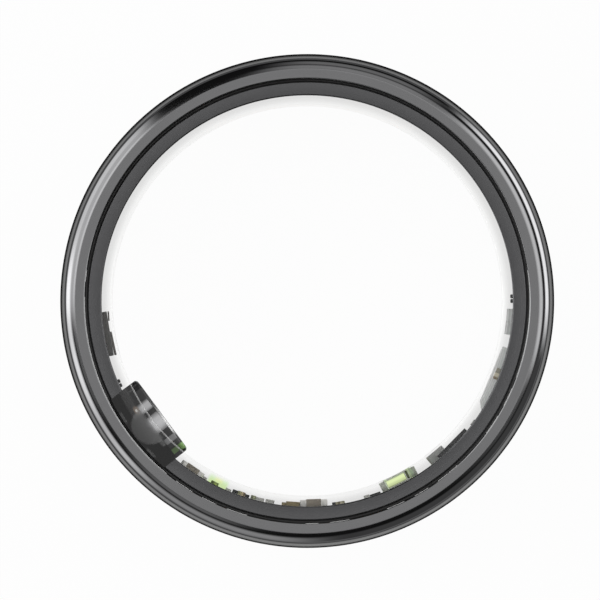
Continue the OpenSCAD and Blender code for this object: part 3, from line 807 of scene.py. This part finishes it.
def extent(part, turn):
    """The low and high corner of the box round a part that is turned back by an angle."""
    back = Matrix.Rotation(math.radians(-turn), 3, "Z")
    corners = [back @ v.co for v in part.data.vertices]
    return (Vector(end(c[i] for c in corners) for i in range(3)) for end in (min, max))


def solids(node):
    """Where each solid of a CAD node lies: angle, outer radius, half length, heights."""
    merged_copy(node, "measuring")
    edit()
    bpy.ops.mesh.separate(type="LOOSE")
    leave()
    parts, found = list(bpy.context.selected_objects), []
    for part in parts:
        low, high = extent(part, 0)
        turn = math.degrees(math.atan2(low.y + high.y, low.x + high.x))
        for _ in range(6):  # closer to the part's middle each time
            low, high = extent(part, turn)
            turn += math.degrees(math.atan2((low.y + high.y) / 2, CHANNEL_R))
        low, high = extent(part, turn)
        found.append((turn % 360, high.x, high.y, low.z, high.z))
    for part in parts:
        mesh = part.data
        bpy.data.objects.remove(part)
        bpy.data.meshes.remove(mesh)
    return sorted(found)


def painted(piece, material):
    piece.data.materials.clear()
    piece.data.materials.append(FINISHES[material])
    return piece


def paint_between(piece, material, start, end):
    """Give the faces between two angles round the ring another finish."""
    piece.data.materials.append(FINISHES[material])
    for face in piece.data.polygons:
        turn = math.degrees(math.atan2(face.center.y, face.center.x)) % 360
        if start < turn < end:
            face.material_index = len(piece.data.materials) - 1


def joined(name, parts):
    """Join parts that already have their finishes into one piece."""
    deselect()
    for part in parts:
        part.select_set(True)
    bpy.context.view_layer.objects.active = parts[0]
    if len(parts) > 1:
        bpy.ops.object.join()
    piece = bpy.context.object
    piece.name = name
    return settle(piece)


def placed(piece, slot, *nodes):
    """Let a finished piece stand for its CAD nodes and ride on the ring."""
    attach(piece, "root")
    if nodes:
        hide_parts(*nodes)


def dress(node, material):
    """Give a CAD node that keeps its own shape its finish."""
    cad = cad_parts[node]
    cad.data.materials.clear()
    cad.data.materials.append(FINISHES[material])


def copied(node, name, material, slot):
    """Let a smoothly shaded copy of a CAD node stand for it."""
    piece = settle(merged_copy(node, name), 25)
    placed(painted(piece, material), slot, node)


def fitted(node, edge, material, *patches, slot=None, swell=SWELL):
    """Let an eased copy of a CAD node stand for it; the edge and the swell are in millimetres.

    A patch names another finish and the two angles that it lies between. The slot is not used.
    """
    piece = eased_copy(node, node + "_eased", edge * MM, swell=swell * MM)
    painted(piece, material)
    for patch in patches:
        paint_between(piece, *patch)
    placed(piece, slot or material, node)


# ---- metal, liner and window

def crown(s):
    """Radius and centre of the arc across the outer face, and where the edge rounding meets it."""
    reach = s.half_w * s.half_w + s.crown_h * s.crown_h
    radius = reach / (2 * s.crown_h)
    centre = s.ring_r - radius
    edge_z = s.half_w - s.edge_r
    edge_x = centre + math.sqrt((radius - s.edge_r) ** 2 - edge_z ** 2)
    return radius, centre, edge_x, edge_z, math.degrees(math.atan2(edge_z, edge_x - centre))


def rim(s):
    """Radii of the shell's inner wall and of a side ring's two edges."""
    wall = crown(s)[2] - s.rim_w - s.rim_chamfer
    return wall, wall - s.groove_w, wall - s.groove_w - s.side_w


class RING_OT_shell(bpy.types.Operator):
    """Turn the outer shell, with its crowned face, rounded edges and chamfered rims"""
    bl_idname = "ring.shell"
    bl_label = "Outer shell"

    def execute(self, context):
        s = context.scene.ring_sizes
        radius, centre, edge_x, edge_z, meet = crown(s)
        wall, rim_in = rim(s)[0], edge_x - s.rim_w
        half = arc((centre, 0), radius, 0, meet, 10)[:-1]
        half += arc((edge_x, edge_z), s.edge_r, meet, 90, 18)
        strip = 0.015 * MM
        half += [(edge_x - strip, s.half_w), (rim_in + strip, s.half_w)]
        half += arc((rim_in, s.half_w - s.rim_chamfer), s.rim_chamfer, 90, 180, 4)
        half += [(wall, s.channel_z), (s.chamber_r, s.channel_z)]
        shell = settle(swept("shell", mirrored(half)[:-1]), 25)
        placed(painted(shell, "shell_metal"), "shell_metal", "outer_shell")
        return {"FINISHED"}


class RING_OT_side_rings(bpy.types.Operator):
    """Turn the two side rings that close the channel, and the glue beside them"""
    bl_idname = "ring.side_rings"
    bl_label = "Side rings"

    def execute(self, context):
        s = context.scene.ring_sizes
        wall, out_r, in_r = rim(s)
        ease_r, foot = 0.025 * MM, s.side_z - s.groove_depth
        outline = [(in_r, s.channel_z), (wall - s.gap, s.channel_z), (wall - s.gap, foot),
                   (out_r, foot)]
        outline += arc((out_r - ease_r, s.side_z - ease_r), ease_r, 0, 90, 3)
        outline += [(out_r - ease_r - BRINK, s.side_z), (in_r + s.side_edge_r + BRINK, s.side_z)]
        outline += arc((in_r + s.side_edge_r, s.side_z - s.side_edge_r), s.side_edge_r, 90, 180, 8)
        bead = [(out_r + s.gap, foot + s.gap), (wall - s.gap, foot + s.gap)]
        bead += arc(((out_r + wall) / 2, s.side_z + 0.02 * MM), 0.112 * MM, -38, -142, 8)
        rings, beads = [], []
        for side in (1, -1):
            ring = swept("side_ring", [(r, side * z) for r, z in outline])
            rings.append(painted(ring, "side_metal"))
            line = swept("bead", [(r, side * z) for r, z in bead], steps=192)
            beads.append(painted(line, "groove_glue"))
        placed(joined("side_rings_turned", rings), "side_metal", "side_rings")
        placed(joined("groove_glue_line", beads), "seal_black", "groove_seals")
        return {"FINISHED"}


class RING_OT_liner(bpy.types.Operator):
    """Cast the clear liner round everything on the board, open where the window stands"""
    bl_idname = "ring.liner"
    bl_label = "Resin liner"

    def execute(self, context):
        s = context.scene.ring_sizes
        play = 0.008 * MM
        side_r = rim(s)[2] + play
        half = arc((s.bore_r + s.liner_edge_r, s.liner_z - s.liner_edge_r), s.liner_edge_r,
                   180, 90, 8)
        half += [(side_r, s.liner_z), (side_r, s.back_z), (s.board_r + play, s.back_z)]
        liner = swept("liner", mirrored(half))
        through_wall, through_width = 3 * MM, 9 * MM
        cutter = block(CHANNEL_R, math.degrees(s.window_angle), 0, through_wall,
                       s.window_len + 2 * s.gap, through_width, round_off=0)
        combine(liner, "DIFFERENCE", cutter)
        settle(liner)
        placed(painted(liner, "liner_resin"), "liner_resin", "resin_liner")
        return {"FINISHED"}


class RING_OT_window(bpy.types.Operator):
    """Mould the smoked sensor window: its base between the liner's ends, its cheeks and dome"""
    bl_idname = "ring.window"
    bl_label = "Sensor window"

    def execute(self, context):
        s = context.scene.ring_sizes
        a = math.degrees(s.window_angle)
        base = self.base(s, a)
        combine(base, "UNION", self.dome(s, a))
        settle(base, 35)
        placed(painted(base, "window_smoke"), "window_smoke", "sensor_window")
        return {"FINISHED"}

    def base(self, s, a):
        """Sweep the base with its cheeks, and cut it off square at both ends."""
        edge_r, corner_r = s.cheek_edge_r, 0.02 * MM
        side_r, cheek_in, reach = 10.45 * MM, s.side_z + s.gap, 16
        half = arc((s.bore_r + edge_r, s.cheek_z - edge_r), edge_r, 180, 90, 6)
        half += [(s.bore_r + edge_r + BRINK, s.cheek_z),
                 (s.cheek_r - corner_r - BRINK, s.cheek_z)]
        half += arc((s.cheek_r - corner_r, s.cheek_z - corner_r), corner_r, 90, 0, 3)
        half += [(s.cheek_r, cheek_in), (side_r, cheek_in), (side_r, s.back_z),
                 (s.board_r - s.gap, s.back_z)]
        base = swept("window", mirrored(half), a - reach, a + reach, 64)
        for side in (1, -1):
            cut(at(0, a, 0, side * s.window_len / 2), at(0, a, 0, side))
        return base

    def dome(self, s, a):
        """A leaning block with rounded corners and a rounded brim toward the finger."""
        top = s.bore_r - s.window_rise
        root = 0.4 * MM  # how far the dome reaches into the base
        deep = s.window_rise + root
        lean = a + math.degrees(s.dome_tilt)
        dome = block(top + deep / 2, lean, 0, deep, s.window_len, s.dome_w,
                     -top * math.sin(s.dome_tilt), round_off=0)
        upright = at(1, lean, 0)
        edit(None)
        bpy.ops.mesh.select_mode(type="EDGE")
        bpy.ops.mesh.select_all(action="DESELECT")
        leave()
        for edge, start, end in self.edges(dome):
            edge.select = abs((end - start).normalized().dot(upright)) > 0.9
        edit(None)
        bpy.ops.mesh.bevel(offset=s.dome_corner_r, segments=12)
        leave()
        weights = dome.data.attributes.new("bevel_weight_edge", "FLOAT", "EDGE")
        for edge, start, end in self.edges(dome):
            if all(abs(e.dot(upright) - top) < 1e-6 for e in (start, end)):
                lie = abs((end - start).normalized().z)
                weights.data[edge.index].value = (
                    s.dome_side_r + (s.dome_end_r - s.dome_side_r) * lie) / s.dome_end_r
        ease(dome, s.dome_end_r, 10, "WEIGHT")
        return dome

    def edges(self, piece):
        """Each edge of a piece with its two ends."""
        points = piece.data.vertices
        return [(edge, *(points[i].co for i in edge.vertices)) for edge in piece.data.edges]


# ---- inside the ring

class RING_OT_power(bpy.types.Operator):
    """Fit the battery, its tabs and protection board, the film, the coil and the ferrite"""
    bl_idname = "ring.power"
    bl_label = "Battery and coil"

    def execute(self, context):
        cell = eased_copy("battery_cell", "battery_pouch", 0.12 * MM, 3, swell=0)
        placed(painted(cell, "cell_foil"), "cell_foil", "battery_cell")
        copied("charging_coil", "coil_winding", "coil_copper", "coil_copper")
        copied("ferrite_sheet", "ferrite_tiles", "ferrite_face", "ferrite")
        dress("insulation_film", "film_amber")
        dress("battery_tabs", "nickel")
        dress("protection_board", "board_green")
        fitted("protection_chips", 0.03, "chip_black", swell=0)
        return {"FINISHED"}


class RING_OT_board(bpy.types.Operator):
    """Fit the board and the chips behind it"""
    bl_idname = "ring.board"
    bl_label = "Circuit board"

    def execute(self, context):
        copied("flex_board", "board_laminate", "board_green", "board_green")
        for node in ("main_processor", "memory_chip", "power_chip"):
            fitted(node, 0.03, "chip_black", swell=0)
        fitted("back_capacitors", 0.025, "capacitor_brown", swell=0)
        return {"FINISHED"}


class RING_OT_connector(bpy.types.Operator):
    """Fit the connector: its socket with two rows of contacts, and its plug"""
    bl_idname = "ring.connector"
    bl_label = "Connector"

    def execute(self, context):
        socket = eased_copy("connector_socket", "socket", 0.03 * MM)
        parts = [painted(socket, "connector_black")]
        a, r1, half, z0, z1 = solids("connector_socket")[0]
        contacts, pitch = 9, 0.2 * half
        for i in range(contacts):
            aside = pitch * (i - (contacts - 1) / 2)
            for z in (z0 - 0.03 * MM, z1 + 0.03 * MM):
                contact = block(r1 - 0.12 * MM, a, z, 0.18 * MM, 0.09 * MM, 0.1 * MM, aside)
                parts.append(painted(contact, "gold"))
        placed(joined("connector_socket_fitted", parts), "connector_black", "connector_socket")
        plug = painted(eased_copy("connector_plug", "plug", 0.025 * MM), "plug_brown")
        placed(joined("connector_plug_fitted", [plug]), "plug_brown", "connector_plug")
        return {"FINISHED"}


class RING_OT_capacitors(bpy.types.Operator):
    """Fit the capacitors, resistors and the inductor with their end caps and solder"""
    bl_idname = "ring.capacitors"
    bl_label = "Capacitors and resistors"

    def execute(self, context):
        fitted("large_capacitors", 0.02, "capacitor_brown")
        fitted("capacitor_terminals", 0.035, "tin", slot="terminal_tin")
        fitted("small_capacitors", 0.025, "capacitor_grey")
        fitted("small_resistors", 0.02, "resistor_black", ("resistor_green", 253.8, 255.5))
        fitted("tantalum_capacitor", 0.03, "tantalum_tan")
        fitted("power_inductor", 0.03, "inductor_brown", ("inductor_end", 267.6, 268.2))
        board_r = context.scene.ring_sizes.board_r
        beads = []
        for node in ("small_capacitors", "small_resistors", "tantalum_capacitor"):
            for a, _, half, z0, z1 in solids(node):
                for side in (-1, 1):
                    bead = block(board_r - 0.05 * MM, a, (z0 + z1) / 2, 0.07 * MM, 0.06 * MM,
                                 (z1 - z0) * 0.9, side * (half + 0.02 * MM))
                    beads.append(painted(bead, "tin"))
        placed(joined("solder_beads", beads), "terminal_tin")
        return {"FINISHED"}


class RING_OT_radio(bpy.types.Operator):
    """Fit the aerial, its gold terminals and the two filters"""
    bl_idname = "ring.radio"
    bl_label = "Aerial and filters"

    def execute(self, context):
        a, _, half, _, z1 = solids("chip_antenna")[0]
        body = swollen_copy("chip_antenna", "aerial", SWELL * MM)
        cut(at(10.225 * MM, a - 8, 0), at(-0.295, a - 8.8, 0, -0.259))  # its slanted end
        ease(body, 0.035 * MM, 3)
        dot = block(10.365 * MM, a, z1, 0.08 * MM, 0.08 * MM, 0.03 * MM, -half + 0.17 * MM,
                    round_off=0.035 * MM)
        parts = [painted(body, "antenna_ceramic"), painted(dot, "dot_white")]
        placed(joined("aerial_block", parts), "antenna_ceramic", "chip_antenna")
        fitted("antenna_terminals", 0.015, "terminal_cream", slot="gold")
        fitted("antenna_filters", 0.03, "filter_grey")
        return {"FINISHED"}


class RING_OT_chips(bpy.types.Operator):
    """Fit the crystal, the motion and temperature sensors, the contacts and the pins"""
    bl_idname = "ring.chips"
    bl_label = "Chips and contacts"

    def execute(self, context):
        fitted("crystal", 0.03, "can_grey", swell=0)
        fitted("accelerometer", 0.02, "chip_grey")
        fitted("temperature_sensor", 0.02, "chip_black")
        fitted("gold_contacts", 0.03, "contact_gold", ("resistor_black", 277, 278), slot="gold")
        fitted("test_pins", 0.05, "chip_black", slot="pin_black")
        return {"FINISHED"}


class RING_OT_optics(bpy.types.Operator):
    """Fit the diodes, the photodiode, the barriers, the light pillars and the light guide"""
    bl_idname = "ring.optics"
    bl_label = "Optics"

    def execute(self, context):
        fitted("photodiode", 0.02, "photodiode_blue")
        fitted("red_led", 0.02, "diode_red", slot="led_red")
        fitted("infrared_led", 0.02, "diode_infrared", slot="led_infrared")
        fitted("light_barriers", 0.015, "frame_black", ("barrier_black", 285, 292),
               ("guide_olive", 299, 301), slot="barrier_black", swell=0.012)
        fitted("light_pillars", 0.04, "pillar_clear")
        fitted("light_guide", 0.03, "guide_resin", swell=0)
        fitted("green_leds", 0.015, "lit_green", ("diode_olive", 240, 247),
               ("lit_guide", 290, 302), slot="led_green", swell=0.012)
        return {"FINISHED"}


# ---- stage

PANELS = (
    # azimuth: middle, half width, softness; zenith angle: low, high, softness; brightness
    (158, 26, 5, 10, 112, 4, 2.3),
    (156, 26, 6, 9, 27, 5, 1.0),
    (162, 26, 8, 64, 118, 8, 0.9),
    (188, 18, 8, 60, 118, 13, 2.9),
    (208, 18, 7, 58, 118, 13, 1.7),
    (240, 30, 10, 60, 118, 14, 1.25),
    (195, 12, 8, 9, 40, 6, 0.45),
    (238, 14, 8, 10, 40, 8, 0.55),
    (17, 33, 7, 9, 43, 9, 2.9),
    (20, 27, 8, 74, 122, 9, 5.2),
    (77, 22, 8, 9, 46, 10, 1.0),
    (77, 18, 8, 56, 92, 8, 0.7),
    (315, 40, 14, 52, 112, 8, 0.22),
    (335, 18, 10, 10, 40, 8, 0.25),
    (300, 55, 12, 114, 132, 10, 0.4),
)


FLOOR_WHITE = 0.97  # the floor's brightness to the camera
# painted shadow: a dark band round the ring that only reflections see
PAINTED_SHADOW_BAND = 13.3, 13.97  # radii between which the dark band round the ring ends
BORE_EDGE = 9.8, 9.4  # radii between which the floor in the bore turns white to reflections


class RING_OT_stage(bpy.types.Operator):
    """Set up the floor, the studio light and the camera"""
    bl_idname = "ring.stage"
    bl_label = "Stage"

    def execute(self, context):
        studio, colours = context.scene.ring_studio, context.scene.ring_colours
        low, high = CAD_BOX
        deselect()
        bpy.ops.mesh.primitive_grid_add(x_subdivisions=8, y_subdivisions=8,
                                        size=studio.floor_size, location=(0, 0, low.z))
        floor = bpy.context.object
        floor.name = "floor"
        settle(floor, 0)
        floor.data.materials.append(self.paper(colours.floor))
        self.world(context, studio)
        self.camera(context, studio, high)
        return {"FINISHED"}

    def paper(self, shade):
        """Paper that is white to the camera, with a painted shadow: a dark band that reflections
        see.
        """
        f = Finish("floor_paper")
        grain = f.noise(0.4, 2).mix(shade, dim(shade, 0.98))
        paper = f.node("BsdfDiffuse", None, {"Color": grain})
        open_air = f.node("BsdfTransparent", None, {"Color": (1, 1, 1, 1)})
        # painted shadow on the floor near the ring, for reflections only
        dark = f.node("BsdfDiffuse", None, {"Color": (0.005, 0.005, 0.005, 1)})
        shine = f.node("Emission", None, {"Color": (1, 1, 1, 1), "Strength": 1.0})
        gloss = f.node("LightPath", None, None, "Is Glossy Ray")
        beyond = (f.radius - f.turned(95)[0] * 0.009).step(*PAINTED_SHADOW_BAND).blend(dark, open_air)
        bore = gloss * f.radius.step(*BORE_EDGE)
        seen = bore.math("MAXIMUM", self.light_path(gloss), bore) * FLOOR_WHITE
        return f.out(seen.blend(gloss.blend(paper, beyond), shine))

    def light_path(self, wire):
        """1 for rays from the camera or through glass."""
        camera = wire.node("LightPath", None, None, "Is Camera Ray")
        through = wire.node("LightPath", None, None, "Is Transmission Ray")
        return camera.math("MAXIMUM", camera, through)

    def world(self, context, studio):
        world = bpy.data.worlds.new("studio")
        world.use_nodes = True
        context.scene.world = world
        tree = world.node_tree
        tree.nodes.clear()
        way = Wire(tree, tree.nodes.new("ShaderNodeTexCoord").outputs["Generated"])
        x, y, z = (way.node("SeparateXYZ", None, {0: way}, out=i) for i in range(3))
        zenith = z.math("ARCCOSINE", z) * math.degrees(1)
        # a lamp straight above, light from below and a faint glow all round
        above, below = zenith.step(13, 7) * 0.97, zenith.step(112, 135) * 0.75
        level = above + below + zenith.step(138, 160) * 0.6 + 0.03
        for middle, half, blur, low, high, soft, bright in PANELS:
            c, s = spread(middle)
            side = x.math("ARCTAN2", y * c - x * s, x * c + y * s) * math.degrees(1)
            level += side.between(-half, half, blur) * zenith.between(low, high, soft) * bright
        seen = self.light_path(way)
        strength = level * (1 - seen) * studio.light + seen
        shade = way.node("Background", None, {"Color": (1, 1, 1, 1), "Strength": strength})
        shade.end("World")

    def camera(self, context, studio, high):
        data = bpy.data.cameras.new("camera")
        data.type, data.ortho_scale = "ORTHO", studio.view_width
        data.clip_start = 0.001
        camera = bpy.data.objects.new("camera", data)
        camera.location = (studio.view_x, studio.view_y, high.z + studio.view_height)
        context.scene.collection.objects.link(camera)
        context.scene.camera = camera
        context.scene.view_settings.view_transform = "Standard"


# ---- panel and registration

OPERATORS = (RING_OT_finishes, RING_OT_shell, RING_OT_side_rings, RING_OT_liner, RING_OT_window,
             RING_OT_power, RING_OT_board, RING_OT_connector, RING_OT_capacitors, RING_OT_radio,
             RING_OT_chips, RING_OT_optics, RING_OT_stage)
GROUPS = (("ring_sizes", RingSizes), ("ring_colours", RingColours), ("ring_studio", RingStudio))


class RING_PT_panel(bpy.types.Panel):
    """The pieces of the smart ring"""
    bl_idname = "RING_PT_panel"
    bl_label = "Smart ring"
    bl_space_type = "VIEW_3D"
    bl_region_type = "UI"
    bl_category = "Smart ring"

    def draw(self, context):
        for operator in OPERATORS:
            self.layout.operator(operator.bl_idname)
        for name, group in GROUPS:
            column = self.layout.column()
            for key in group.__annotations__:
                column.prop(getattr(context.scene, name), key)


def register():
    for name, group in GROUPS:
        bpy.utils.register_class(group)
        setattr(bpy.types.Scene, name, bpy.props.PointerProperty(type=group))
    for operator in OPERATORS:
        bpy.utils.register_class(operator)
    bpy.utils.register_class(RING_PT_panel)


def unregister():
    bpy.utils.unregister_class(RING_PT_panel)
    for operator in reversed(OPERATORS):
        bpy.utils.unregister_class(operator)
    for name, group in reversed(GROUPS):
        delattr(bpy.types.Scene, name)
        bpy.utils.unregister_class(group)


def main():
    """Build every piece in order."""
    register()
    for operator in OPERATORS:
        family, action = operator.bl_idname.split(".")
        getattr(getattr(bpy.ops, family), action)()
    deselect()


if __name__ == "__main__":
    main()
